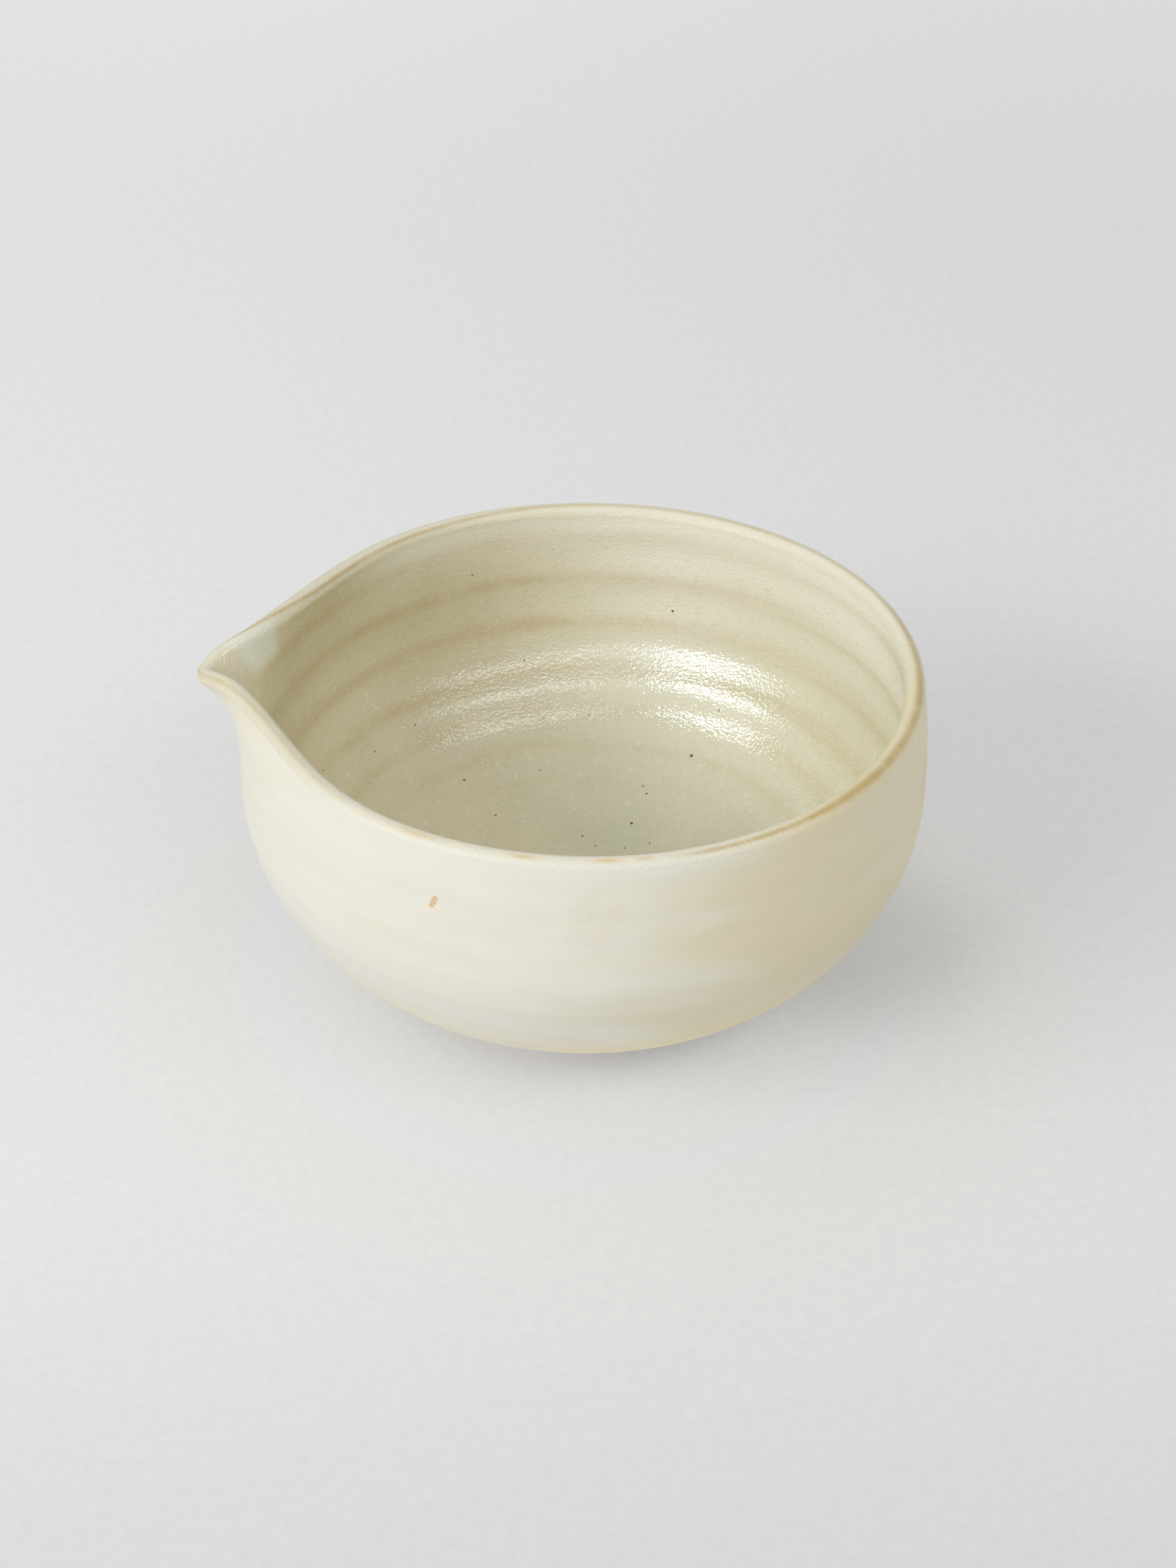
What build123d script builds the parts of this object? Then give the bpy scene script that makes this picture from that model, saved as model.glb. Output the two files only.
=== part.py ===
from build123d import *
import os
from math import cos, exp, pi, radians, sin, sqrt

# A hand-thrown stoneware mixing bowl with a pulled pouring spout.
#
# Millimetres, +Z up.  The origin is the centre of the foot ring's resting face.
# The spout points along +X, and the XZ plane is the mirror plane.
#
# The bowl is three layers, fired together, and each is a solid of its own:
#   stoneware_body  the thrown clay: trimmed foot ring, floor, wall, lip and pulled spout
#   liner_glaze     the glossy coat of the inside, which laps over the lip
#   outer_glaze     the satin coat of the outside, wiped off above the foot
#
# Up to the belly every layer is turned about Z.  Above it, a layer is a section that follows the
# outside line: turned about Z away from the spout, and lofted through radial sections across it.

# The thrown form
BELLY_RADIUS = 80.0        # outside radius at its widest
BELLY_HEIGHT = 57.5        # height of that widest circle
RIM_HEIGHT = 85.3          # top of the lip, away from the spout
SHOULDER_DEPTH = 116.0     # vertical half axis of the ellipse that the upper wall follows
WALL = 4.8                 # wall thickness at the belly, glazed
LIP = 4.6                  # wall thickness at the lip, glazed
FLOOR_TOP = 10.5           # height of the glazed floor inside

# The trimmed foot
FOOT_RADIUS = 36.0         # outside of the foot ring, where it rests
FOOT_WIDTH = 6.5           # width of the ring at its resting face
FOOT_RECESS = 3.6          # height of the hollow inside the ring
FOOT_LEAN = 1.0            # how much wider the ring is at its root, each side
FOOT_EDGE = 0.8            # rounding of the ring's two edges

# The pulled spout
SPOUT_REACH = 15.7         # how far the pull would carry a sharp rim out past the round wall
SPOUT_CURVE = 2.7          # power with which the pull grows towards the rim
SPOUT_DEPTH = 27.0         # height of the wall that the pull bends
SPOUT_SPREAD = 7.9         # degrees from the middle at which the reach has halved
SPOUT_DROP = 4.9           # how far the spout's lip dips below the rim
DROP_SPREAD = 6.8         # degrees that set how wide the dip is
PINCH = 2.8                # how far the flanks are pushed in, where two fingers held the wall
PINCH_BEARING = 26.5       # degrees from the middle to the deepest point of each pinch
PINCH_SPREAD = 20.0        # degrees over which a pinch fades

# The glaze
COAT = 0.4                 # thickness of each coat
WIPE_HEIGHT = 9.0          # lower edge of the outer coat

# Radial sections across the spout
SECTOR = 60.0              # degrees each side of +X that the loft covers
FADE_START = 40.0          # degrees from which the last trace of the spout fades away
HALF_FAN = [0, 2.5, 5, 7.5, 10.5, 14, 18, 23, 28, 34, 41, 48, 54, 58, SECTOR]
LEVELS = 9                 # points along each side of a section
ARC_POINTS = 13            # points along each line below the belly
JOIN = 0.01                # widest gap that is closed where the loft meets the turned parts
STEP = 0.05                # step for slopes, in mm and in degrees


def fade(bearing):
    """1 across the spout, falling smoothly to 0 at the edge of the lofted sector."""
    share = (abs(bearing) - FADE_START) / (SECTOR - FADE_START)
    return cos(min(max(share, 0.0), 1.0) * pi / 2) ** 2


def outside(z, bearing):
    """Outside radius of the glazed wall at or above the belly, before the spout dips."""
    rise = (z - BELLY_HEIGHT) / SHOULDER_DEPTH
    pull = max((z - RIM_HEIGHT) / SPOUT_DEPTH + 1, 0.0) ** SPOUT_CURVE
    reach = SPOUT_REACH / (1 + (bearing / SPOUT_SPREAD) ** 2)
    pinch = PINCH * exp(-(((abs(bearing) - PINCH_BEARING) / PINCH_SPREAD) ** 2))
    return BELLY_RADIUS * sqrt(1 - rise**2) + (reach - pinch) * pull * fade(bearing)


def dip(z, bearing):
    """How much lower a point of the wall lies because the spout was pressed down."""
    share = max(z - BELLY_HEIGHT, 0.0) / (RIM_HEIGHT - BELLY_HEIGHT)
    return SPOUT_DROP * (1 + (bearing / DROP_SPREAD) ** 2) ** -1.5 * share**1.5 * fade(bearing)


def slopes(z, bearing):
    """How fast the outside radius grows with height, and with distance round the bowl."""
    upward = (outside(z + STEP, bearing) - outside(z - STEP, bearing)) / (2 * STEP)
    turn = outside(z, bearing + STEP) - outside(z, bearing - STEP)
    return upward, turn / (radians(2 * STEP) * outside(z, bearing))


def thickness(z):
    share = (z - BELLY_HEIGHT) / (RIM_HEIGHT - BELLY_HEIGHT)
    return WALL + (LIP - WALL) * share


def wall_point(z, bearing, depth):
    """The point that lies at depth under the outside at level z, square to it."""
    upward, sideways = slopes(z, bearing)
    lean = sqrt(1 + upward**2)
    inward = depth * sqrt(1 + (sideways / lean) ** 2) / lean
    radius = outside(z, bearing) - inward
    angle = radians(bearing)
    return Vector(radius * cos(angle), radius * sin(angle), z - dip(z, bearing) + inward * upward)


def lip_level(bearing):
    """Level where the rounding of the lip starts, so that its top comes up to the rim."""
    upward = slopes(RIM_HEIGHT, bearing)[0]
    return RIM_HEIGHT - LIP / 2 * (1 + upward) / sqrt(1 + upward**2)


def outer_line(bearing, inset):
    """Line up the outside, inset from the glazed surface."""
    rise = (lip_level(bearing) - BELLY_HEIGHT) / (LEVELS - 1)
    levels = [BELLY_HEIGHT + rise * i for i in range(LEVELS)]
    return Edge.make_spline([wall_point(z, bearing, inset) for z in levels])


def inner_line(bearing, inset):
    """Line up the inside, inset from the glazed surface."""
    rise = (lip_level(bearing) - BELLY_HEIGHT) / (LEVELS - 1)
    levels = [BELLY_HEIGHT + rise * i for i in range(LEVELS)]
    return Edge.make_spline([wall_point(z, bearing, thickness(z) - inset) for z in levels])


def lip_line(bearing, inset):
    """Half circle over the lip, from the outer line to the inner line."""
    start, end = outer_line(bearing, inset) @ 1, inner_line(bearing, inset) @ 1
    upward = slopes(lip_level(bearing), bearing)[0]
    angle = radians(bearing)
    along = Vector(upward * cos(angle), upward * sin(angle), 1).normalized()
    crest = (start + end) / 2 + along * ((end - start).length / 2)
    return Edge.make_three_point_arc(start, crest, end)


def join(*lines):
    """Closed wire through lines that are given as point-to-point runs of one loop."""
    return Wire(list(lines))


def body_section(bearing):
    outer, inner = outer_line(bearing, COAT), inner_line(bearing, COAT)
    return join(outer, lip_line(bearing, COAT), inner, Edge.make_line(inner @ 0, outer @ 0))


def liner_section(bearing):
    clay, face = inner_line(bearing, COAT), inner_line(bearing, 0)
    clay_lip, face_lip = lip_line(bearing, COAT), lip_line(bearing, 0)
    root = Edge.make_line(face @ 0, clay @ 0)
    seam = Edge.make_line(clay_lip @ 0, face_lip @ 0)
    return join(root, clay, clay_lip, seam, face_lip, face)


def outer_section(bearing):
    clay, face = outer_line(bearing, COAT), outer_line(bearing, 0)
    root = Edge.make_line(clay @ 0, face @ 0)
    return join(root, face, Edge.make_line(face @ 1, clay @ 1), clay)


def upper_wall(section):
    """A layer above the belly: turned away from the spout, and lofted across it."""
    bearings = [-b for b in reversed(HALF_FAN[1:])] + HALF_FAN
    fan = [section(b) for b in bearings]
    turned = Solid.revolve(Face(fan[-1]), 360 - 2 * SECTOR, Axis.Z)
    return turned, Solid.make_loft(fan)


def half_bowl(radius, depth):
    """Half of the half ellipse below the belly, as a face in the XZ plane."""
    turns = [i / (ARC_POINTS - 1) * pi / 2 for i in range(ARC_POINTS)]
    with BuildSketch(Plane.XZ) as sketch:
        with BuildLine():
            arc = Spline(
                *[(radius * sin(turn), BELLY_HEIGHT - depth * cos(turn)) for turn in turns],
                tangents=[(1, 0), (0, 1)],
            )
            Polyline(arc @ 1, (0, BELLY_HEIGHT), arc @ 0)
        make_face()
    return sketch.sketch


def foot_face():
    """Half section of the foot ring, which reaches up into the floor."""
    root = (FOOT_RECESS + FLOOR_TOP) / 2
    inner = FOOT_RADIUS - FOOT_WIDTH
    with BuildSketch(Plane.XZ) as sketch:
        with BuildLine():
            Polyline(
                (inner - FOOT_LEAN, root),
                (inner - FOOT_LEAN, FOOT_RECESS),
                (inner, 0),
                (FOOT_RADIUS, 0),
                (FOOT_RADIUS + FOOT_LEAN, root),
                close=True,
            )
        make_face()
        fillet(sketch.vertices().group_by(Axis.Z)[0], FOOT_EDGE)
    return sketch.sketch


def band_face(low, high):
    """Half section of everything between two heights."""
    with BuildSketch(Plane.XZ) as sketch:
        with Locations((BELLY_RADIUS, (low + high) / 2)):
            Rectangle(2 * BELLY_RADIUS, high - low)
    return sketch.sketch


def layer(lower, section):
    """One layer: its lower face turned about Z, and its upper wall."""
    turned, spout = upper_wall(section)
    return revolve(lower, Axis.Z).solid().fuse(turned).fuse(spout, tol=JOIN)


outside_face = half_bowl(BELLY_RADIUS, BELLY_HEIGHT)
clay_face = half_bowl(BELLY_RADIUS - COAT, BELLY_HEIGHT - COAT)
liner_face = half_bowl(BELLY_RADIUS - WALL + COAT, BELLY_HEIGHT - FLOOR_TOP + COAT)
inside_face = half_bowl(BELLY_RADIUS - WALL, BELLY_HEIGHT - FLOOR_TOP)

nodes = {
    "stoneware_body": layer(
        clay_face - band_face(-COAT, FOOT_RECESS) + foot_face() - liner_face, body_section
    ),
    "liner_glaze": layer(liner_face - inside_face, liner_section),
    "outer_glaze": layer(outside_face - clay_face - band_face(-COAT, WIPE_HEIGHT), outer_section),
}

os.makedirs("parts", exist_ok=True)
for name, shape in nodes.items():
    shape.label = name
    export_step(shape, f"parts/{name}.step")
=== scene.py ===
import math

import bpy
import numpy as np
from mathutils import Matrix, Vector


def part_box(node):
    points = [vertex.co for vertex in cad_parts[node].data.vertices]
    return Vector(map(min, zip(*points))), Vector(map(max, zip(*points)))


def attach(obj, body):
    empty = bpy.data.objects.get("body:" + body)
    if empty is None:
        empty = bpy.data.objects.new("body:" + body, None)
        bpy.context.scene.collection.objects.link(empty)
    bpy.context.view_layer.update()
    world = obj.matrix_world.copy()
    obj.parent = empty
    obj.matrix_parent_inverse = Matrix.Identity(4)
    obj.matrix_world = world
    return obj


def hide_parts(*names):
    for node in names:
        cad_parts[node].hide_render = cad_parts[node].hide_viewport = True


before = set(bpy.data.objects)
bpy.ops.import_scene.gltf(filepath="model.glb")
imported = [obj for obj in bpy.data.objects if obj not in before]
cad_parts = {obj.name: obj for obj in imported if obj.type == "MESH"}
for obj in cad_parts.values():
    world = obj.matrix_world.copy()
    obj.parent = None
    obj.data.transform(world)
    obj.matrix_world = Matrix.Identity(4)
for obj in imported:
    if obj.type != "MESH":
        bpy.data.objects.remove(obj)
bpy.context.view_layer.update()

# The looks of a hand-thrown stoneware mixing bowl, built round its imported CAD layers.
# Metres, in the frame's axes: +Z up, the spout along +X, the foot on the floor at z = 0.
# A bearing is an angle round the bowl, in radians, 0 at the spout and growing towards +Y.
# A level is a height on the wall before the spout is pressed down.

MM = 0.001

# ---------------------------------------------------------------- sizes from the frame
OUTER_LOW, OUTER_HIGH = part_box("outer_glaze")
LINER_LOW, LINER_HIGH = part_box("liner_glaze")
BODY_LOW, BODY_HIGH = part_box("stoneware_body")

BELLY = OUTER_HIGH.y                       # outside radius at the belly
RIM = LINER_HIGH.z                         # top of the lip
COAT = OUTER_HIGH.y - BODY_HIGH.y          # thickness of a glaze coat
WIPE = OUTER_LOW.z                         # lower edge of the outer coat
FLOOR_TOP = LINER_LOW.z + COAT             # glazed floor inside
BELLY_HEIGHT = 0.71875 * BELLY
SHOULDER_DEPTH = 1.45 * BELLY
WALL = 4.8 * MM
LIP = 4.6 * MM

# The foot
FOOT_RADIUS = 0.45 * BELLY
FOOT_WIDTH = 6.5 * MM
FOOT_RECESS = 3.6 * MM
FOOT_EDGE = 0.8 * MM

# The spout
SPOUT_REACH = 15.7 * MM
SPOUT_CURVE = 2.7
SPOUT_DEPTH = 27.0 * MM
SPOUT_SPREAD = math.radians(7.9)
SPOUT_DROP = 4.9 * MM
DROP_SPREAD = math.radians(6.8)
PINCH = 2.8 * MM
PINCH_BEARING = math.radians(26.5)
PINCH_SPREAD = math.radians(20.0)

# What the hand left: the rim's slow wave and tilt, and the throwing rings inside
RIM_WAVE = (0.16 * MM, 0.52 * MM)
RIM_TILT = (-0.38 * MM, 0.23 * MM)
OVAL = 0.44 * MM
RING_LEVELS = [                            # heights of the grooves between the throwing rings
    level * MM for level in (10.5, 11.6, 13.6, 16.2, 19.6, 24.2, 29.8, 37.4, 47.8, 60.3, 73.2, 86.8)
]
RING_STEEPNESS = (0.058, 0.025)            # height of a ring over its pitch, low and high on the wall
RING_SHIFT = 0.28                          # how far a groove lies under its streak, in rings
OUTER_RING_PITCH = 7.5 * MM
OUTER_RING_HEIGHT = 0.035 * MM

# The meshes: columns round the spout and round the rest, then rows below and above the belly
SPOUT_FAN = math.radians(46)
SPOUT_COLUMNS, OTHER_COLUMNS = 180, 216
LINER_ROWS = 84, 30
OUTER_ROWS = 64, 30
CLAY_INSIDE_ROWS = 70, 20
CLAY_OUTSIDE_ROWS = 40, 20
CLAY_LIP_ROWS = 12
ROUNDING_POINTS = 5                        # on each rounded edge of the foot
LIP_SHARES = np.linspace(1, 0, 27)         # rows of the liner over the lip
SEAM_DIP = 0.03                            # how deep the coats sink where they meet, over their thickness


def smooth(low, high, value):
    """0 below low, 1 above high, and an S-curve between them."""
    share = np.clip((value - low) / (high - low), 0, 1)
    return share * share * (3 - 2 * share)


def wrapped(bearing):
    """The same bearing between -pi and pi."""
    return (bearing + math.pi) % (2 * math.pi) - math.pi


def wobble(bearing, seed, turns=(2, 9)):
    """Smooth unevenness round the bowl, about -1 to 1."""
    random = np.random.default_rng(seed)
    total = np.zeros_like(bearing)
    for turn in range(*turns):
        total = total + random.normal() / math.sqrt(turn) * np.sin(turn * bearing + random.uniform(0, 6.28))
    return total / math.sqrt(turns[1] - turns[0])


def bump_at(bearing, centre, width):
    """1 at a bearing, falling away over a width, both in degrees."""
    return np.exp(-((wrapped(bearing - math.radians(centre)) / math.radians(width)) ** 2))


def between(bearing, start, end, fade):
    """1 from one bearing to another, in degrees, with soft ends."""
    middle, half = (start + end) / 2, (end - start) / 2
    off = np.abs(np.degrees(wrapped(bearing - math.radians(middle))))
    return 1 - smooth(half - fade, half + fade, off)


# ---------------------------------------------------------------- the wall above the belly
def outside(level, bearing):
    """Outside radius of the glazed wall."""
    rise = (level - BELLY_HEIGHT) / SHOULDER_DEPTH
    turn = wrapped(bearing)
    pull = np.maximum((level - RIM) / SPOUT_DEPTH + 1, 0) ** SPOUT_CURVE
    reach = SPOUT_REACH / (1 + (turn / SPOUT_SPREAD) ** 2)
    pinch = PINCH * np.exp(-(((np.abs(turn) - PINCH_BEARING) / PINCH_SPREAD) ** 2))
    return BELLY * np.sqrt(1 - rise**2) + (reach - pinch) * pull


def dip(level, bearing):
    """How much lower the wall lies where the spout was pressed down."""
    share = np.maximum(level - BELLY_HEIGHT, 0) / (RIM - BELLY_HEIGHT)
    return SPOUT_DROP * (1 + (wrapped(bearing) / DROP_SPREAD) ** 2) ** -1.5 * share**1.5


def slopes(level, bearing):
    """How fast the outside radius grows upward, and with distance round the bowl."""
    up_step, turn_step = 0.05 * MM, 0.001
    upward = (outside(level + up_step, bearing) - outside(level - up_step, bearing)) / (2 * up_step)
    turn = outside(level, bearing + turn_step) - outside(level, bearing - turn_step)
    return upward, turn / (2 * turn_step * outside(level, bearing))


def thickness(level):
    return WALL + (LIP - WALL) * (level - BELLY_HEIGHT) / (RIM - BELLY_HEIGHT)


def wall_point(level, bearing, depth):
    """(radius, height) at depth under the outside, square to it."""
    upward, sideways = slopes(level, bearing)
    lean = np.sqrt(1 + upward**2)
    inward = depth * np.sqrt(1 + (sideways / lean) ** 2) / lean
    return outside(level, bearing) - inward, level - dip(level, bearing) + inward * upward


def lip_level(bearing):
    """Level where the rounding of the lip starts."""
    upward = slopes(np.full_like(bearing, RIM), bearing)[0]
    return RIM - LIP / 2 * (1 + upward) / np.sqrt(1 + upward**2)


# ---------------------------------------------------------------- runs of rows round the bowl
# A run is an array (rows, bearings, 2) of radius and height.
def spread(start, end, count):
    """Shares from start to end, leaving out the end."""
    return start + (end - start) * np.arange(count) / count


def low_run(bearings, radius, depth, shares):
    """Rows on the half ellipse below the belly; share 0 is its lowest point and 1 the belly."""
    turn = shares[:, None] * math.pi / 2 + 0 * bearings
    return np.stack([radius * np.sin(turn), BELLY_HEIGHT - depth * np.cos(turn)], -1)


def high_run(bearings, shares, depth):
    """Rows on the wall between the belly and the lip, at depth(level) under the outside."""
    level = BELLY_HEIGHT + shares[:, None] * (lip_level(bearings) - BELLY_HEIGHT)
    return np.stack(wall_point(level, bearings + 0 * level, depth(level)), -1)


def lip_run(bearings, shares, inset):
    """Rows over the lip; share 0 is its outer shoulder, 1 its inner shoulder."""
    level = lip_level(bearings)
    outer = np.stack(wall_point(level, bearings, inset), -1)
    inner = np.stack(wall_point(level, bearings, thickness(level) - inset), -1)
    middle, arm = (outer + inner) / 2, (outer - inner) / 2
    upward = slopes(level, bearings)[0]
    along = np.stack([upward, np.ones_like(upward)], -1) / np.sqrt(1 + upward**2)[:, None]
    reach = np.linalg.norm(arm, axis=-1)[:, None]
    turn = shares[:, None, None] * math.pi
    return middle + arm * np.cos(turn) + along * reach * np.sin(turn)


def inside_rows(bearings, inset, low_count, high_count):
    """Rows from the middle of the floor up to the lip's inner shoulder."""
    low = low_run(
        bearings, BELLY - WALL + inset, BELLY_HEIGHT - FLOOR_TOP + inset, spread(0, 1, low_count)
    )
    high = high_run(bearings, spread(0, 1, high_count), lambda level: thickness(level) - inset)
    return np.concatenate([low, high])


def outside_rows(bearings, inset, high_count, low_shares):
    """Rows from below the lip's outer shoulder down the outside."""
    high = high_run(bearings, spread(1, 0, high_count)[1:], lambda level: inset)
    low = low_run(bearings, BELLY - inset, BELLY_HEIGHT - inset, low_shares)
    return np.concatenate([high, low])


def placed(rows, bearings):
    """Rows of radius and height as points in space."""
    radius, height = rows[..., 0], rows[..., 1]
    return np.stack([radius * np.cos(bearings), radius * np.sin(bearings), height], -1)


def fan():
    """Bearings of the meshes' columns, closer together at the spout."""
    spout = np.linspace(-SPOUT_FAN, SPOUT_FAN, SPOUT_COLUMNS, endpoint=False)
    rest = np.linspace(SPOUT_FAN, 2 * math.pi - SPOUT_FAN, OTHER_COLUMNS, endpoint=False)
    return np.concatenate([spout, rest])


BEARINGS = fan()


# ---------------------------------------------------------------- what the hand left
def ring_phase(height, bearing):
    """Counts the throwing rings up the inside: whole at a groove, and one more each turn."""
    level = height + 0.5 * MM * wobble(bearing, 5)
    count = np.interp(level, RING_LEVELS, np.arange(len(RING_LEVELS)))
    return count + wrapped(bearing) / (2 * math.pi)


def ring_push(points):
    """How far the throwing rings stand into the bowl at points of the inside. They die out at
    the middle of the floor, under the lip and in the spout, and are flatter high at -65 degrees."""
    bearing = np.arctan2(points[..., 1], points[..., 0])
    radius = np.hypot(points[..., 0], points[..., 1])
    height = points[..., 2]
    phase = ring_phase(height, bearing) + RING_SHIFT + 0.22 * bump_at(bearing, -68, 24)
    crest = np.sin(math.pi * phase) ** 2
    strength = 0.75 + 0.25 * wobble(bearing + 3 * phase, 6)
    calm = smooth(2 * MM, 16 * MM, radius) * (1 - smooth(0.93 * RIM, 0.985 * RIM, height))
    spout = 1 - 0.7 * np.exp(-((bearing / math.radians(16)) ** 2)) * smooth(0.72 * RIM, 0.85 * RIM, height)
    pitch = np.interp(height, RING_LEVELS[:-1], np.diff(RING_LEVELS))
    steepness = np.interp(height, (0.50 * RIM, 0.62 * RIM), RING_STEEPNESS)
    flat = 1 - 0.85 * bump_at(bearing, -65, 24) * smooth(0.46 * RIM, 0.50 * RIM, height)
    return steepness * pitch * (crest - 0.5) * strength * calm * spout * flat


def turned_push(points):
    """How far the faint turning lines stand out on the outside."""
    bearing = np.arctan2(points[..., 1], points[..., 0])
    height = points[..., 2]
    phase = height / OUTER_RING_PITCH + bearing / (2 * math.pi) + 0.15 * wobble(bearing, 7)
    fine = 0.35 * np.sin(2 * math.pi * (2.7 * phase + 0.3))
    calm = 1 - smooth(0.90 * RIM, 0.97 * RIM, height)
    return OUTER_RING_HEIGHT * (np.sin(2 * math.pi * phase) + fine) * calm


def normals(points):
    """Unit normals of a grid of points whose second index goes round the bowl."""
    down = np.gradient(points, axis=0)
    sideways = np.roll(points, -1, axis=1) - np.roll(points, 1, axis=1)
    found = np.cross(sideways, down)
    length = np.linalg.norm(found, axis=-1, keepdims=True)
    return found / np.maximum(length, 1e-12)


def handmade(points):
    """Points moved by the rim's slow wave and tilt, and by the unevenness of its round."""
    bearing = np.arctan2(points[..., 1], points[..., 0])
    share = np.clip((points[..., 2] - BELLY_HEIGHT) / (RIM - BELLY_HEIGHT), 0, 1) ** 1.5
    lift = RIM_WAVE[0] * np.cos(2 * bearing) + RIM_WAVE[1] * np.sin(2 * bearing)
    lift = lift + RIM_TILT[0] * np.cos(bearing) + RIM_TILT[1] * np.sin(bearing)
    lift = lift + 0.10 * MM * wobble(bearing, 11, (3, 12))
    moved = points.copy()
    moved[..., 2] += lift * share
    out = OVAL * np.sin(2 * bearing) + 0.10 * MM * wobble(bearing, 12, (3, 9))
    moved[..., :2] *= (1 + share * out / BELLY)[..., None]
    return moved


# ---------------------------------------------------------------- meshes
def skin(name, points, ring):
    """A closed mesh from a grid of points. The rows close on each other if ring is true,
    and otherwise the first and last rows close on a point of the axis."""
    rows, columns = points.shape[:2]
    index = np.arange(rows * columns).reshape(rows, columns)
    following = np.roll(index, -1, axis=1)
    if ring:
        low, high = index, np.roll(index, -1, axis=0)
        low_next, high_next = following, np.roll(following, -1, axis=0)
    else:
        low, high, low_next, high_next = index[:-1], index[1:], following[:-1], following[1:]
    faces = np.stack([low, low_next, high_next, high], -1).reshape(-1, 4).tolist()
    places = points.reshape(-1, 3)
    if not ring:
        ends = np.array([[0, 0, points[0, :, 2].mean()], [0, 0, points[-1, :, 2].mean()]])
        first, last = len(places), len(places) + 1
        places = np.concatenate([places, ends])
        faces += [[first, b, a] for a, b in zip(index[0], following[0])]
        faces += [[last, a, b] for a, b in zip(index[-1], following[-1])]
    mesh = bpy.data.meshes.new(name)
    mesh.from_pydata(places.tolist(), [], faces)
    mesh.validate()
    mesh.update()
    mesh.polygons.foreach_set("use_smooth", np.ones(len(mesh.polygons), bool))
    mesh.set_sharp_from_angle(angle=math.radians(50))
    piece = bpy.data.objects.new(name, mesh)
    bpy.context.scene.collection.objects.link(piece)
    return piece


def paint(piece, name, values):
    """Stores a number at each vertex of a piece, 0 past the end of values, for its material to read."""
    layer = piece.data.attributes.new(name, "FLOAT", "POINT")
    flat = np.zeros(len(piece.data.vertices), np.float32)
    flat[: values.size] = values.ravel()
    layer.data.foreach_set("value", flat)


def vertices(piece):
    """A piece's vertices as rows of x, y and z."""
    flat = np.empty(len(piece.data.vertices) * 3, np.float32)
    piece.data.vertices.foreach_get("co", flat)
    return flat.reshape(-1, 3).astype(float)


def facing(points, middle, side):
    """Unit normals of a grid, towards a height on the axis if side is 1, and away from it if -1."""
    found = normals(points)
    towards = np.array([0, 0, middle]) - points
    return found * np.sign(side * (towards * found).sum(-1, keepdims=True))


def inside_face(inset, low_count, high_count):
    """The inside with its throwing rings, from near the middle of the floor up."""
    points = placed(inside_rows(BEARINGS, inset, low_count, high_count)[1:], BEARINGS)
    return points + facing(points, 2.2 * RIM, 1) * ring_push(points)[..., None]


def outside_face(inset, high_count, low_shares):
    """The outside with its turning lines, from below the lip down."""
    points = placed(outside_rows(BEARINGS, inset, high_count, low_shares), BEARINGS)
    return points + facing(points, BELLY_HEIGHT, -1) * turned_push(points)[..., None]


def lip_face(inset, shares):
    return placed(lip_run(BEARINGS, shares, inset), BEARINGS)


def clay():
    """The fired clay: inside, lip, outside, foot and underside, as one closed skin."""
    low_rows, high_rows = CLAY_OUTSIDE_ROWS
    inner = inside_face(COAT, *CLAY_INSIDE_ROWS)
    lip = lip_face(COAT, spread(1, 0, CLAY_LIP_ROWS))
    foot_share = 2 / math.pi * math.asin((FOOT_RADIUS + 1.5 * MM) / (BELLY - COAT))
    outer = outside_face(COAT, high_rows, spread(1, foot_share, low_rows))
    height = outer[-1, 0, 2]
    edge = FOOT_RADIUS - FOOT_WIDTH
    # Down from the bowl's round to the foot, round its outer and inner edges, and into the recess
    outline = [(FOOT_RADIUS + 1.1 * MM, height - 0.5 * MM), (FOOT_RADIUS + 0.7 * MM, height * 0.55)]
    for turn in np.linspace(0, math.pi / 2, ROUNDING_POINTS):
        outline.append((FOOT_RADIUS - FOOT_EDGE * (1 - math.cos(turn)), FOOT_EDGE * (1 - math.sin(turn))))
    for turn in np.linspace(0, math.pi / 2, ROUNDING_POINTS):
        outline.append((edge + FOOT_EDGE * (1 - math.sin(turn)), FOOT_EDGE * (1 - math.cos(turn))))
    outline += [(edge - 0.5 * MM, 0.6 * FOOT_RECESS), (edge - 1.2 * MM, 0.92 * FOOT_RECESS)]
    outline += [(r * edge, FOOT_RECESS + (1 - r) * 0.9 * MM) for r in (0.9, 0.7, 0.5, 0.3, 0.12)]
    foot = placed(np.array(outline)[:, None, :] + np.zeros((1, len(BEARINGS), 1)), BEARINGS)
    return skin("clay_body", handmade(np.concatenate([inner, lip, outer, foot])), ring=False)


def liner():
    """The inside coat: its glossy face, over the lip to the seam, and its back on the clay."""
    seam = smooth(0.16, 0.0, LIP_SHARES)[:, None, None]
    face = lip_face(0.0, LIP_SHARES)
    under = lip_face(COAT, LIP_SHARES)
    lip = face + (under - face) * SEAM_DIP * seam
    points = [inside_face(0.0, *LINER_ROWS), lip]
    back = [lip_face(COAT, LIP_SHARES[::-2]), inside_face(COAT, *CLAY_INSIDE_ROWS)[::-1]]
    piece = skin("liner_coat", handmade(np.concatenate(points + back)), ring=False)
    below = lip[:1, :, 2] - points[0][..., 2]
    around = [1 + below / (math.pi / 2 * LIP), LIP_SHARES[:, None] + 0 * BEARINGS]
    paint_liner(piece, np.concatenate(around))
    return piece


def wipe_share():
    """Share of the lower ellipse at which the outer coat ends."""
    return 2 / math.pi * math.acos((BELLY_HEIGHT - WIPE) / BELLY_HEIGHT)


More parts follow.
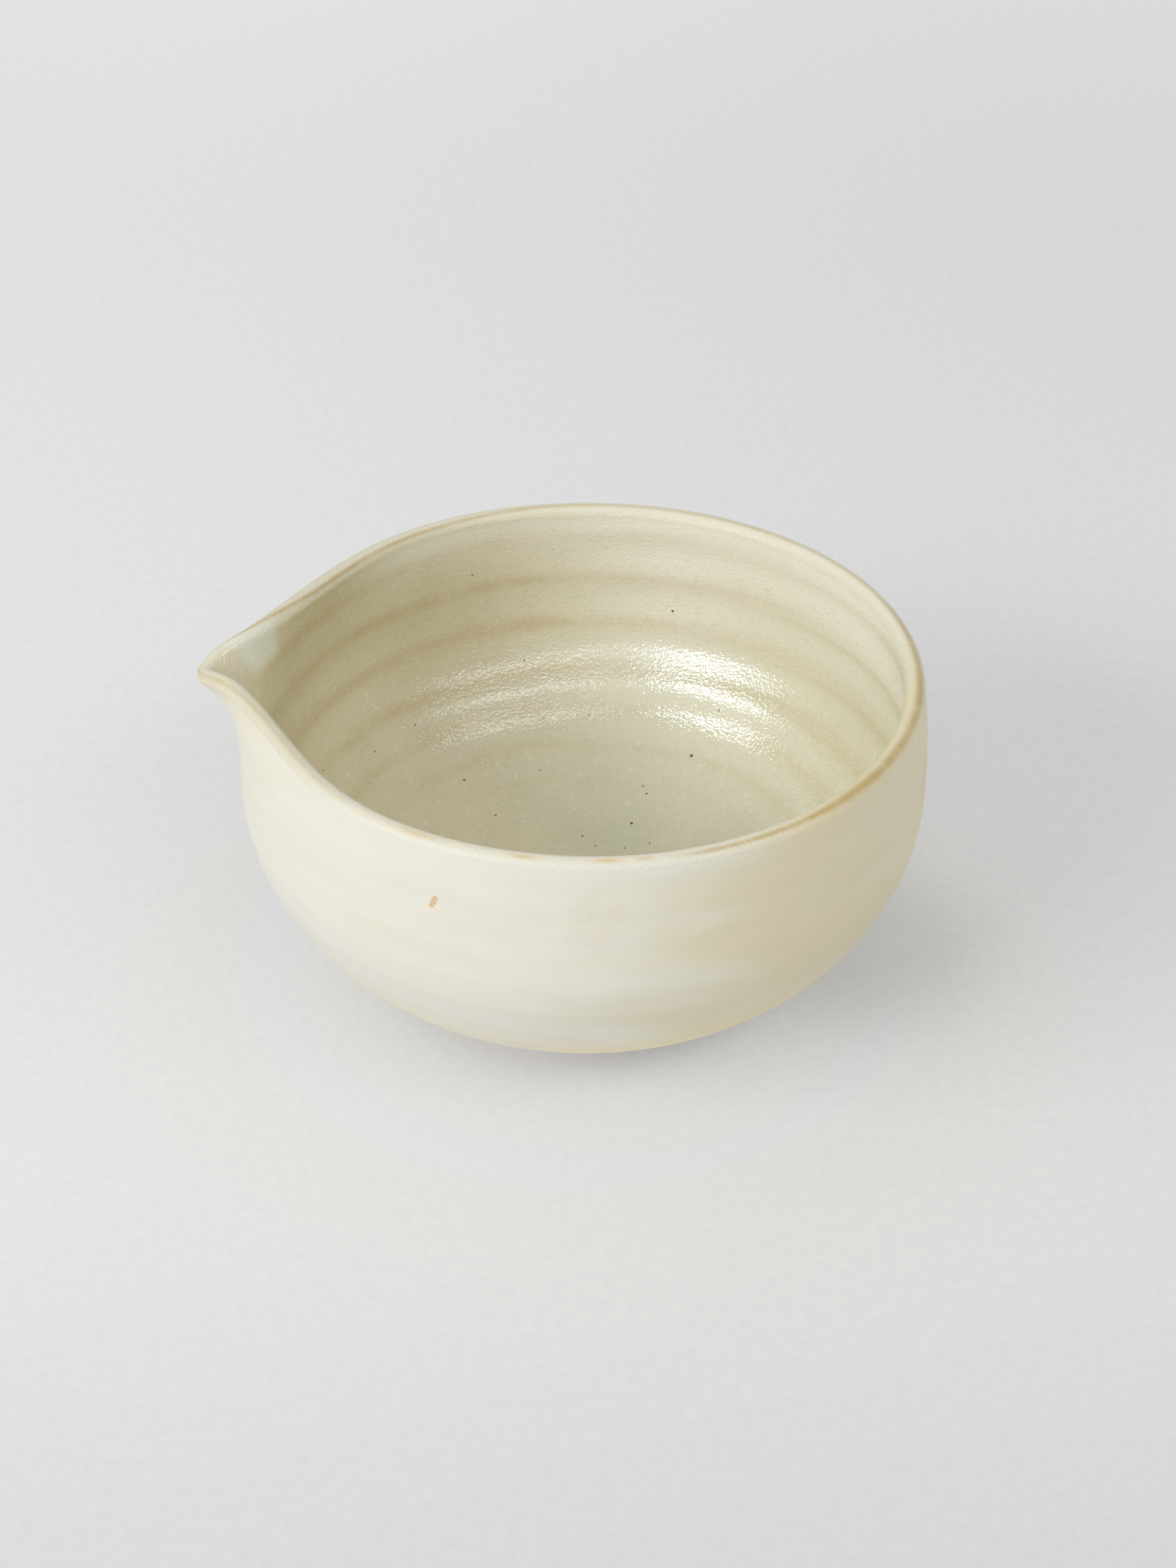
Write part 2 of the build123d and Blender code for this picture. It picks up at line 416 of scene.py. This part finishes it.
def outer():
    """The outside coat, from the seam under the lip to its rolled edge above the foot."""
    low_rows, high_rows = OUTER_ROWS
    shares = spread(1, wipe_share(), low_rows)
    face = outside_face(0.0, high_rows, shares)
    back = outside_face(COAT, high_rows, shares)
    seam = np.array([0.0])
    top, top_back = lip_face(0.0, seam), lip_face(COAT, seam)
    face = np.concatenate([top + (top_back - top) * SEAM_DIP, face])
    back = np.concatenate([top_back, back])
    roll = (face[-1:] + back[-1:]) / 2
    roll[..., 2] -= 0.15 * MM
    piece = skin("outer_coat", handmade(np.concatenate([face, roll, back[::-1]])), ring=True)
    paint_outer(piece)
    return piece


# ---------------------------------------------------------------- where the glaze changes, and where light and shade are painted
def broken(bearing, seed):
    """A line's strength round the rim, from gaps to full."""
    short, long = wobble(bearing, seed, (9, 60)), wobble(bearing, seed + 1, (3, 9))
    return np.clip(0.5 + 0.55 * short + 0.3 * long, 0, 1)


# Where the glaze broke tan over the lip, as pairs of bearings in degrees and a value at each:
# the line's share of the way over the lip, its half width and its strength
LINE_SHARE = (
    (0, 60, 170, 190, 215, 240, 280, 300, 335, 360),
    (0.42, 0.33, 0.30, 0.38, 0.45, 0.50, 0.53, 0.66, 0.68, 0.42),
)
LINE_WIDTH = (
    (0, 30, 108, 130, 142, 180, 205, 330, 360),
    (0.10, 0.08, 0.07, 0.09, 0.17, 0.14, 0.08, 0.08, 0.10),
)
LINE_STRENGTH = (
    (0, 20, 42, 52, 104, 113, 130, 142, 178, 200, 215, 240, 270, 300, 330, 345, 360),
    (0.65, 0.4, 0.25, 0.0, 0.0, 0.85, 0.95, 1.0, 0.95, 0.7, 0.5, 0.6, 0.5, 0.8, 0.85, 0.9, 0.65),
)


def paint_liner(piece, around):
    """Paints where the liner's colours change, and where light and shade are painted on it. around, one
    value for each vertex of the seen face, is 0 at the seam on the lip's outer side, 1 at its inner
    shoulder and more below it."""
    # Over the whole inside: streaks along the grooves, painted shade in them, slow changes of colour, and
    # painted shade on the left wall
    at = vertices(piece)
    bearing, height = np.arctan2(at[:, 1], at[:, 0]), at[:, 2]
    phase = ring_phase(height, bearing)
    groove = (phase + 0.5) % 1 - 0.5
    olive = between(bearing, 150, 245, 18)
    strength = 0.06 + 0.94 * bump_at(bearing, -52, 52) + 0.25 * wobble(bearing + 2.4 * phase, 21)
    core = np.exp(-(((groove - 0.02) / 0.15) ** 2))
    calm = smooth(0.16 * RIM, 0.42 * RIM, height)
    paint(piece, "streak", core * np.clip(strength, 0.0, 1) * calm)
    paint(piece, "olive", core * olive * np.clip(0.5 + wobble(bearing + 3 * phase, 22), 0, 1) * calm)
    paint(piece, "shade", np.exp(-((groove / 0.30) ** 2)) * calm)
    paint(piece, "depth", 1 - smooth(0.14 * RIM, 0.76 * RIM, height))
    # Painted shade: the left wall, which faces away from the key light, darker and more olive, tinted as by
    # light bounced from the right wall
    paint(piece, "left", smooth(-0.15, 0.95, np.cos(bearing + math.radians(12))))
    paint(piece, "right", bump_at(bearing, 188, 42) * (1 - smooth(0.55 * RIM, 0.90 * RIM, height)))
    # On the lip and just under it, with painted light inside the back of the rim and a painted reflection
    # in the spout
    turn = np.broadcast_to(BEARINGS, around.shape)
    under = 1 - smooth(1.0, 3.2, around)
    paint(piece, "pale", smooth(0.38, 0.55, around) * (1 - smooth(0.9, 1.2, around)))
    # Painted light: lighter and cooler just inside the back and right of the rim, where the lights fall and
    # shine
    paint(piece, "painted_light_under_rim", smooth(0.9, 1.1, around) * under * between(turn, 195, 318, 15))
    paint(piece, "lip", 1 - smooth(0.78, 0.95, around))
    paint(piece, "honey", between(turn, 122, 182, 12) * (1 - smooth(0.95, 1.2, around)))
    paint(piece, "milky", between(turn, 42, 112, 12) * (1 - smooth(0.05, 0.32, around)))
    # Painted reflection: a pale, cool patch on the back wall of the spout's channel
    painted_spout_reflection = between(turn, -12.5, -4.5, 1.3) * smooth(0.4, 0.9, around) * (1 - smooth(1.75, 2.2, around))
    paint(piece, "painted_spout_reflection", painted_spout_reflection)
    # Marks along the front of the lip, and the broken line
    marks = 0.7 * bump_at(turn, 64, 3)
    for bearing_degrees, width in ((82, 1.8), (95, 1.8), (101, 1)):
        marks = marks + bump_at(turn, bearing_degrees, width)
    paint(piece, "marks", np.exp(-(((around - 0.36) / 0.07) ** 2)) * marks)
    degrees = np.degrees(turn) % 360
    strength = np.interp(degrees, *LINE_STRENGTH) * (0.7 + 0.3 * broken(turn, 41))
    off = (around - np.interp(degrees, *LINE_SHARE)) / np.interp(degrees, *LINE_WIDTH)
    paint(piece, "edge", np.exp(-(off**2)) * strength)


def paint_outer(piece):
    """Paints where the outside is cloudy beige, and painted light: peach light bounced from the floor at
    the bottom, and a warm sheen at the left and right edges.
    """
    at = vertices(piece)
    bearing, height = np.arctan2(at[:, 1], at[:, 0]), at[:, 2]
    border = math.radians(96) + math.radians(16) * (height / RIM) ** 5
    across = wrapped(bearing - border)
    cloud = smooth(-0.35, 0.80, across) * (1 - smooth(1.9, 2.6, across))
    back = np.clip(0.5 + 0.5 * wobble(bearing + height / BELLY, 33, (2, 7)), 0, 1)
    back = back * smooth(0.2, 0.9, -bearing)
    paint(piece, "cloud", np.maximum(np.maximum(cloud, back), 0.3 * bump_at(bearing, 12, 26)))
    # Painted light: peach light bounced from the floor at the bottom, and a painted warm sheen at the left
    # and right edges
    low = 1 - smooth(0.08 * RIM, 0.52 * RIM, height + 4 * MM * wobble(bearing, 34))
    painted_edge_sheen = 0.15 * bump_at(bearing, 8, 20) + 0.4 * bump_at(bearing, 176, 16)
    patchy = 0.6 + 0.4 * wobble(bearing + 3 * height / BELLY, 35)
    paint(piece, "painted_bounce_light", np.maximum(low, painted_edge_sheen * patchy))


# ---------------------------------------------------------------- shader helpers
def linear(red, green, blue):
    """A colour given as 0-255 display values, in the renderer's linear values."""
    def one(value):
        value = value / 255
        return value / 12.92 if value <= 0.04045 else ((value + 0.055) / 1.055) ** 2.4
    return (one(red), one(green), one(blue), 1.0)


class Shader:
    """Short ways to add nodes to one material."""

    def __init__(self, name):
        self.material = bpy.data.materials.new(name)
        self.material.use_nodes = True
        self.nodes = self.material.node_tree.nodes
        self.links = self.material.node_tree.links
        self.surface = self.nodes["Principled BSDF"]
        self.place = self.nodes.new("ShaderNodeTexCoord").outputs["Object"]

    def put(self, socket, value):
        """Links an output to the socket, or sets its value."""
        if isinstance(value, bpy.types.NodeSocket):
            self.links.new(value, socket)
        else:
            socket.default_value = value

    def math(self, operation, first, second=0.0, third=0.0):
        node = self.nodes.new("ShaderNodeMath")
        node.operation = operation
        for socket, value in zip(node.inputs, (first, second, third)):
            self.put(socket, value)
        return node.outputs[0]

    def ramp(self, value, low, high, to_low=0.0, to_high=1.0):
        """An S-curve from to_low, where value is low, to to_high, where it is high."""
        node = self.nodes.new("ShaderNodeMapRange")
        node.interpolation_type = "SMOOTHSTEP"
        for socket, given in zip(node.inputs, (value, low, high, to_low, to_high)):
            self.put(socket, given)
        return node.outputs[0]

    def noise(self, scale, detail=2.0, rough=0.5, squash=(1, 1, 1)):
        where = self.nodes.new("ShaderNodeMapping")
        self.put(where.inputs["Vector"], self.place)
        where.inputs["Scale"].default_value = squash
        node = self.nodes.new("ShaderNodeTexNoise")
        self.put(node.inputs["Vector"], where.outputs[0])
        node.inputs["Scale"].default_value = scale
        node.inputs["Detail"].default_value = detail
        node.inputs["Roughness"].default_value = rough
        return node.outputs["Fac"]

    def attribute(self, name):
        node = self.nodes.new("ShaderNodeAttribute")
        node.attribute_name = name
        return node.outputs["Fac"]

    def mix(self, share, first, second):
        node = self.nodes.new("ShaderNodeMix")
        node.data_type = "RGBA"
        self.put(node.inputs[0], share)
        self.put(node.inputs[6], first)
        self.put(node.inputs[7], second)
        return node.outputs[2]

    def tint(self, colour, share, weight, red, green, blue):
        """The colour moved towards a display colour by a share, times a weight."""
        return self.mix(self.math("MULTIPLY", share, weight), colour, linear(red, green, blue))

    def painted(self, colour, name, weight, red, green, blue):
        """The same, with the share that paint() stored under a name."""
        return self.tint(colour, self.attribute(name), weight, red, green, blue)

    def specks(self, scale, size, share):
        """Random round specks: a cell of 1 / scale holds one of at most size, in share of the cells."""
        node = self.nodes.new("ShaderNodeTexVoronoi")
        self.put(node.inputs["Vector"], self.place)
        node.inputs["Scale"].default_value = scale
        split = self.nodes.new("ShaderNodeSeparateColor")
        self.links.new(node.outputs["Color"], split.inputs[0])
        kept = self.math("LESS_THAN", split.outputs[0], share)
        radius = self.math("MULTIPLY", self.math("ADD", split.outputs[1], 0.4), size * scale / 1.4)
        spot = self.ramp(self.math("DIVIDE", node.outputs["Distance"], radius), 1.0, 0.55)
        return self.math("MULTIPLY", spot, kept)

    def distance(self, place):
        """How far the shaded point lies from a place."""
        node = self.nodes.new("ShaderNodeVectorMath")
        node.operation = "DISTANCE"
        self.put(node.inputs[0], self.place)
        node.inputs[1].default_value = place
        return node.outputs["Value"]

    def spots(self, places):
        """Single spots, each (x, y, z, radius)."""
        total = 0.0
        for x, y, z, radius in places:
            spot = self.ramp(self.distance((x, y, z)), radius * 1.15, radius * 0.55)
            total = self.math("MAXIMUM", spot, total)
        return total

    def bump(self, height, distance, strength=1.0, under=None):
        node = self.nodes.new("ShaderNodeBump")
        node.inputs["Strength"].default_value = strength
        node.inputs["Distance"].default_value = distance
        self.put(node.inputs["Height"], height)
        if under is not None:
            self.put(node.inputs["Normal"], under)
        return node.outputs[0]

    def finish(self, colour, roughness, normal, **sockets):
        """Joins up the surface and returns the material. An underscore stands for a space."""
        self.put(self.surface.inputs["Base Color"], colour)
        self.put(self.surface.inputs["Roughness"], roughness)
        self.put(self.surface.inputs["Normal"], normal)
        for name, value in sockets.items():
            self.surface.inputs[name.replace("_", " ")].default_value = value
        return self.material


# ---------------------------------------------------------------- specks and marks at listed places
def inside_place(bearing_degrees, height):
    """The point of the glazed inside at a bearing and height below the spout's reach."""
    bearing = math.radians(bearing_degrees)
    if height < BELLY_HEIGHT:
        share = (BELLY_HEIGHT - height) / (BELLY_HEIGHT - FLOOR_TOP)
        radius = (BELLY - WALL) * math.sqrt(1 - share**2)
    else:
        radius = float(outside(height, bearing) - thickness(height))
    return radius * math.cos(bearing), radius * math.sin(bearing), height


def outside_place(bearing_degrees, height):
    """The point of the outside at a bearing and height above the belly."""
    bearing = math.radians(bearing_degrees)
    radius = float(outside(height, bearing))
    return radius * math.cos(bearing), radius * math.sin(bearing), height


def inside_spots(places):
    """Specks of the inside, which show a little smaller than they are given."""
    return [(*inside_place(b, h * MM), 0.7 * r * MM) for b, h, r in places]


def outside_spots(places):
    return [(*outside_place(b, h * MM), r * MM) for b, h, r in places]


# Each is a bearing in degrees, a height and a radius in mm
IRON = [
    (-118, 26.7, 0.75), (-109, 16.3, 0.65), (-53, 23.3, 0.6), (-48, 34.6, 0.5), (-89, 14.5, 0.5),
    (-110, 19.9, 0.45), (-106, 56.4, 0.55), (-120, 35.8, 0.4), (-35, 33.8, 0.4), (-19, 37.9, 0.4),
    (-96, 13.8, 0.4), (-111, 14.0, 0.4), (-121, 15.0, 0.4), (-56, 17.9, 0.45), (-66, 67.6, 0.4),
    (-90, 30.7, 0.35), (-72, 35.3, 0.3), (-76, 42.2, 0.4), (64, 40.0, 0.5), (101, 24.0, 0.6),
    (140, 52.0, 0.5), (27, 33.0, 0.4), (171, 30.0, 0.55),
]
COBALT = [(-79, 30.5, 0.8), (-76, 22.2, 0.6), (-108, 20.7, 0.8), (60, 28.0, 0.7)]
MARKS = [(68.3, 72.4, 0.8), (68.0, 71.4, 0.9), (67.7, 70.4, 0.7)]
SMUDGES = [(94.0, 73.0, 7.0), (92.5, 68.0, 6.0)]


# ---------------------------------------------------------------- materials
LINER_IOR, OUTER_IOR, CLAY_IOR = 1.75, 1.5, 1.45
CLAY_ROUGHNESS = 0.88


def liner_material():
    s = Shader("liner_glaze_gloss")
    cream, olive = linear(238, 234, 220), linear(199, 197, 165)
    colour = s.mix(s.attribute("depth"), cream, olive)
    # Painted shade on the left wall, darker and more olive
    colour = s.painted(colour, "left", 0.9, 196, 182, 140)
    colour = s.painted(colour, "right", 0.8, 204, 197, 166)
    colour = s.mix(s.ramp(s.noise(30, 3.0), 0.35, 0.7, 0.0, 0.35), colour, linear(224, 218, 190))
    colour = s.painted(colour, "shade", 0.12, 198, 184, 142)
    smear = s.ramp(s.noise(60, 3.0, 0.55, (1, 1, 2)), 0.25, 0.7, 0.25, 1.0)
    streak = s.math("MULTIPLY", s.attribute("streak"), smear)
    colour = s.tint(colour, streak, 0.60, 192, 168, 120)
    colour = s.painted(colour, "olive", 0.35, 186, 178, 124)
    grain = s.ramp(s.noise(950, 2.0, 0.6), 0.54, 0.78, 0.0, 0.28)
    colour = s.mix(grain, colour, linear(182, 164, 124))
    pale = s.ramp(s.noise(620, 2.0, 0.5), 0.55, 0.75, 0.0, 0.22)
    colour = s.mix(pale, colour, linear(236, 232, 214))
    colour = s.painted(colour, "pale", 0.4, 232, 226, 200)
    colour = s.painted(colour, "lip", 0.75, 212, 208, 189)
    # Painted light just inside the back and right of the rim
    colour = s.painted(colour, "painted_light_under_rim", 0.6, 244, 242, 230)
    colour = s.painted(colour, "honey", 0.6, 216, 202, 160)
    colour = s.painted(colour, "milky", 0.9, 217, 215, 204)
    # Painted reflection in the spout's channel
    colour = s.painted(colour, "painted_spout_reflection", 0.6, 222, 227, 214)
    patchy = s.ramp(s.noise(140, 4.0, 0.6), 0.25, 0.6, 0.65, 1.0)
    colour = s.mix(s.math("MULTIPLY", s.attribute("edge"), patchy), colour, linear(178, 152, 90))
    colour = s.painted(colour, "marks", 0.75, 208, 174, 118)
    colour = s.tint(colour, s.specks(420, 0.20 * MM, 0.10), 0.15, 138, 106, 66)
    colour = s.tint(colour, s.spots(inside_spots(COBALT)), 0.7, 140, 143, 138)
    iron = s.math("MAXIMUM", s.specks(70, 0.20 * MM, 0.045), s.spots(inside_spots(IRON)))
    colour = s.mix(iron, colour, linear(90, 58, 32))
    peel = s.bump(s.noise(1500, 1.0, 0.5), 0.14 * MM)
    normal = s.bump(s.noise(560, 2.0, 0.6, (1, 1, 2.2)), 0.12 * MM, under=peel)
    gloss = s.ramp(s.noise(120, 2.0), 0.3, 0.7, 0.09, 0.14)
    rough = s.math("MULTIPLY_ADD", s.attribute("lip"), 0.25, gloss)
    s.put(s.surface.inputs["Specular IOR Level"], s.ramp(s.attribute("lip"), 0.0, 1.0, 0.75, 0.12))
    return s.finish(colour, rough, normal, IOR=LINER_IOR, Specular_Tint=(0.88, 0.95, 1.0, 1))


def outer_material():
    s = Shader("outer_glaze_satin")
    milk, beige = linear(219, 217, 206), linear(211, 202, 170)
    brushed = s.ramp(s.noise(30, 4.0, 0.55, (0.7, 0.7, 2.2)), 0.3, 0.7, -0.28, 0.28)
    cloud = s.math("ADD", s.attribute("cloud"), brushed)
    colour = s.mix(s.ramp(cloud, 0.0, 1.0), milk, beige)
    bands = s.ramp(s.noise(26, 2.0, 0.5, (0.3, 0.3, 5.0)), 0.45, 0.8, 0.0, 0.20)
    colour = s.mix(bands, colour, linear(218, 208, 182))
    drag = s.ramp(s.noise(30, 3.0, 0.6, (0.12, 0.12, 9.0)), 0.62, 0.74, 0.0, 0.30)
    colour = s.mix(drag, colour, linear(206, 186, 146))
    # Painted light: peach bounced light at the bottom and warm sheen at the left and right edges
    colour = s.painted(colour, "painted_bounce_light", 0.9, 255, 236, 182)
    colour = s.mix(s.ramp(s.noise(700, 2.0), 0.55, 0.8, 0.0, 0.15), colour, linear(212, 201, 174))
    colour = s.tint(colour, s.specks(120, 0.3 * MM, 0.05), 0.35, 176, 140, 92)
    colour = s.tint(colour, s.spots(outside_spots(MARKS)), 0.7, 204, 160, 96)
    worn = s.ramp(s.noise(300, 4.0, 0.6), 0.30, 0.75, 0.0, 0.20)
    smudge = s.math("MULTIPLY", s.spots(outside_spots(SMUDGES)), worn)
    colour = s.mix(smudge, colour, linear(200, 178, 136))
    peel = s.bump(s.noise(900, 2.0, 0.5), 0.015 * MM)
    normal = s.bump(s.noise(120, 3.0, 0.5), 0.06 * MM, under=peel)
    rough = s.ramp(s.noise(90, 3.0), 0.3, 0.7, 0.36, 0.5)
    return s.finish(colour, rough, normal, IOR=OUTER_IOR)


def clay_material():
    s = Shader("stoneware_matt")
    colour = s.mix(s.ramp(s.noise(40, 4.0), 0.3, 0.7), linear(196, 170, 132), linear(172, 143, 104))
    colour = s.mix(s.ramp(s.noise(1500, 2.0, 0.7), 0.5, 0.75, 0.0, 0.5), colour, linear(214, 194, 160))
    colour = s.mix(s.specks(300, 0.35 * MM, 0.2), colour, linear(96, 66, 42))
    grain = s.bump(s.noise(1800, 3.0, 0.7), 0.05 * MM)
    normal = s.bump(s.noise(400, 3.0, 0.6, (1, 1, 4)), 0.06 * MM, under=grain)
    return s.finish(colour, CLAY_ROUGHNESS, normal, IOR=CLAY_IOR)


# ---------------------------------------------------------------- pieces
def dress(piece, node, material):
    """Gives a piece its material, and puts it in the place of its CAD node."""
    piece.data.materials.append(material)
    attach(piece, "root")
    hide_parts(node)


clay_body = clay()
dress(clay_body, "stoneware_body", clay_material())
liner_coat = liner()
dress(liner_coat, "liner_glaze", liner_material())
outer_coat = outer()
dress(outer_coat, "outer_glaze", outer_material())


# ---------------------------------------------------------------- floor, light and camera
def direction(azimuth, elevation):
    """Unit vector towards a bearing and elevation, in degrees."""
    a, e = math.radians(azimuth), math.radians(elevation)
    return Vector((math.cos(a) * math.cos(e), math.sin(a) * math.cos(e), math.sin(e)))


FLOOR_HALF = 6.0                           # half the floor's side
FLOOR_ROUGHNESS = 0.8
FLOOR_PAINTED_LIGHT = 0.21                          # glow painted into the floor, standing in for light bounced round the room


def painted_floor_light(s):
    """Painted light: the floor's glow, more to the spout's side and far behind, less in front, with a
    painted shadow beside the bowl.
    """
    along = s.nodes.new("ShaderNodeSeparateXYZ")
    s.put(along.inputs[0], s.place)
    side = s.ramp(along.outputs[0], -2.5 * BELLY, 3.0 * BELLY, 0.86 * FLOOR_PAINTED_LIGHT, 1.11 * FLOOR_PAINTED_LIGHT)
    far = s.ramp(along.outputs[1], -11 * BELLY, -5 * BELLY, 0.34 * FLOOR_PAINTED_LIGHT, 0.0)
    front = s.ramp(along.outputs[1], 1.0 * BELLY, 2.8 * BELLY, 0.0, -0.38 * FLOOR_PAINTED_LIGHT)
    total = s.math("ADD", s.math("ADD", side, far), front)
    # Painted shadow: less glow on the floor beside the bowl, on the side away from the spout
    painted_shadow_distance = s.distance((-0.84 * BELLY, -0.12 * BELLY, 0))
    return s.math("MULTIPLY", total, s.ramp(painted_shadow_distance, 0.12 * BELLY, 0.62 * BELLY, 0.55, 1.0))


def floor_material():
    s = Shader("floor_paper")
    colour = s.mix(s.ramp(s.noise(350, 3.0), 0.3, 0.7), linear(189, 189, 189), linear(193, 193, 192))
    # The floor glows though it is no lamp: painted light
    s.put(s.surface.inputs["Emission Strength"], painted_floor_light(s))
    # Painted light: a cooler glow close round the bowl, against the warm light the bowl throws on the floor
    near = s.ramp(s.distance((0, 0, 0)), 1.15 * BELLY, 0.95 * BELLY)
    s.put(s.surface.inputs["Emission Color"], s.mix(near, (1, 1, 1, 1), (0.98, 1.08, 1.22, 1)))
    return s.finish(colour, FLOOR_ROUGHNESS, s.bump(s.noise(900), 0.02 * MM))


def add_floor():
    mesh = bpy.data.meshes.new("floor")
    corners = [(FLOOR_HALF * x, FLOOR_HALF * y, 0) for x, y in ((-1, -1), (1, -1), (1, 1), (-1, 1))]
    mesh.from_pydata(corners, [], [(0, 1, 2, 3)])
    floor = bpy.data.objects.new("floor", mesh)
    bpy.context.scene.collection.objects.link(floor)
    floor.data.materials.append(floor_material())


LIGHT_DISTANCE = 2.6


def add_light(name, azimuth, elevation, width, height, power, colour=(1, 1, 1)):
    """A softbox that looks at the bowl, in metres and watts."""
    lamp = bpy.data.lights.new(name, "AREA")
    lamp.shape = "RECTANGLE"
    lamp.size, lamp.size_y = width, height
    lamp.energy, lamp.color = power, colour
    light = bpy.data.objects.new(name, lamp)
    towards = direction(azimuth, elevation)
    light.location = Vector((0, 0, RIM / 2)) + towards * LIGHT_DISTANCE
    light.rotation_mode = "QUATERNION"
    light.rotation_quaternion = towards.to_track_quat("Z", "Y")
    bpy.context.scene.collection.objects.link(light)


def add_world(strength):
    world = bpy.data.worlds.new("studio")
    world.use_nodes = True
    background = world.node_tree.nodes["Background"]
    background.inputs["Color"].default_value = (0.98, 0.99, 1.0, 1)
    background.inputs["Strength"].default_value = strength
    bpy.context.scene.world = world


# The camera. Its distance is chosen, since the outline fits about as well from further off. Its lens in
# mm, bearing, elevation, roll and aim were fitted to the bowl's outline for that distance.
LENS, SENSOR = 63.94, 36
CAMERA_BEARING, CAMERA_ELEVATION, CAMERA_ROLL = 91.04, 32.28, 1.23
CAMERA_DISTANCE = 8.0 * BELLY
CAMERA_AIM = Vector((-1.3, 11.9, 60.0)) * MM


def add_camera():
    """Looks down from +Y, with the spout to the left."""
    camera = bpy.data.cameras.new("camera")
    camera.sensor_width = SENSOR
    camera.lens = LENS
    seat = bpy.data.objects.new("camera", camera)
    place = Vector((0, 0, RIM)) + direction(CAMERA_BEARING, CAMERA_ELEVATION) * CAMERA_DISTANCE
    turn = (place - CAMERA_AIM).to_track_quat("Z", "Y").to_matrix()
    roll = Matrix.Rotation(math.radians(CAMERA_ROLL), 3, "Z")
    seat.matrix_world = Matrix.Translation(place) @ (turn @ roll).to_4x4()
    bpy.context.scene.collection.objects.link(seat)
    bpy.context.scene.camera = seat


add_floor()
add_light("key", azimuth=38, elevation=30, width=1.75, height=0.70, power=33.0)
add_light("broad", azimuth=121, elevation=46, width=2.8, height=0.60, power=14.0, colour=(1.0, 0.99, 0.96))
add_world(0.68)
add_camera()
bpy.context.scene.view_settings.view_transform = "Standard"
